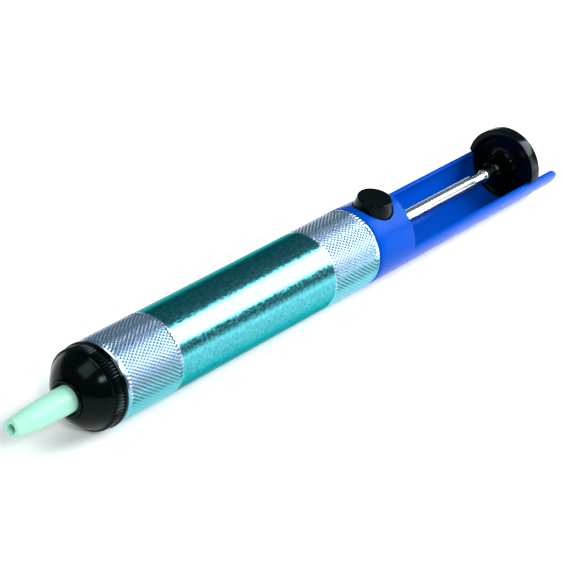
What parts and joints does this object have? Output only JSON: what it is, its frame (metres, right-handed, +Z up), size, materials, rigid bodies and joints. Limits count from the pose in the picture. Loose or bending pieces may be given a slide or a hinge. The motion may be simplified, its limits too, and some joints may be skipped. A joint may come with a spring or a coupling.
{
  "type": "desoldering pump",
  "caption": "Hand-held spring-driven desoldering pump: knurled metal barrel, domed nose cap with tapered nozzle, open-topped rear body, release button and thumb plunger.",
  "frame": {"origin": "on the surface the pump lies on, below the middle of its length, with the release button up", "axes": "+X along the pump's axis from the nozzle towards the thumb pad, +Z up through the release button"},
  "size_m": [0.1974, 0.0204, 0.0224],
  "materials": {
    "fluoropolymer": "satin",
    "rubber": "matt",
    "black_plastic": "glossy",
    "barrel_aluminium": "polished, knurled at both ends",
    "blue_plastic": "glossy",
    "bronze": "sintered",
    "natural_plastic": "satin",
    "zinc_steel": "zinc plated",
    "brass": "turned",
    "ground_steel": "ground and polished",
    "spring_steel": "drawn wire"
  },
  "bodies": {
    "housing": {"barrel": "barrel_aluminium", "rear_body": "blue_plastic", "rod_guide": "bronze", "piston_buffer": "rubber", "main_spring": "spring_steel", "button_spring": "spring_steel"},
    "plunger": {"piston": "natural_plastic", "piston_seal": "rubber", "spring_seat": "zinc_steel", "piston_nut": "brass", "rod_clip": "zinc_steel", "plunger_rod": "ground_steel", "cleaning_pin": "ground_steel", "thumb_pad": "black_plastic"},
    "button": {"release_button": "black_plastic", "latch_plate": "zinc_steel"},
    "cap_ring": {"nose_cap_seal": "rubber"},
    "nose": {"nose_cap": "black_plastic", "nozzle": "fluoropolymer", "nozzle_seal": "rubber", "nozzle_retainer": "black_plastic"}
  },
  "joints": [
    {"name": "plunger_slide", "type": "slide", "parent": "housing", "child": "plunger", "axis": [-1, 0, 0], "range_m": [0, 0.046], "stiffness_N_per_m": 250, "springref_m": -0.008, "deforming": ["main_spring"]},
    {"name": "button_press", "type": "slide", "parent": "housing", "child": "button", "axis": [0, 0, -1], "range_m": [0, 0.0018], "stiffness_N_per_m": 400, "springref_m": -0.0005, "deforming": ["button_spring"]},
    {"name": "cap_advance", "type": "slide", "parent": "housing", "child": "cap_ring", "axis": [-1, 0, 0], "range_m": [0, 0.009]},
    {"name": "cap_turn", "type": "hinge", "parent": "cap_ring", "child": "nose", "pos_m": [-0.0722, 0, 0.01015], "axis": [-1, 0, 0], "range_deg": [0, 2161]}
  ],
  "couplings": [
    {"joint": "cap_turn", "follows": "cap_advance", "rad_per_m": 4188.8}
  ]
}
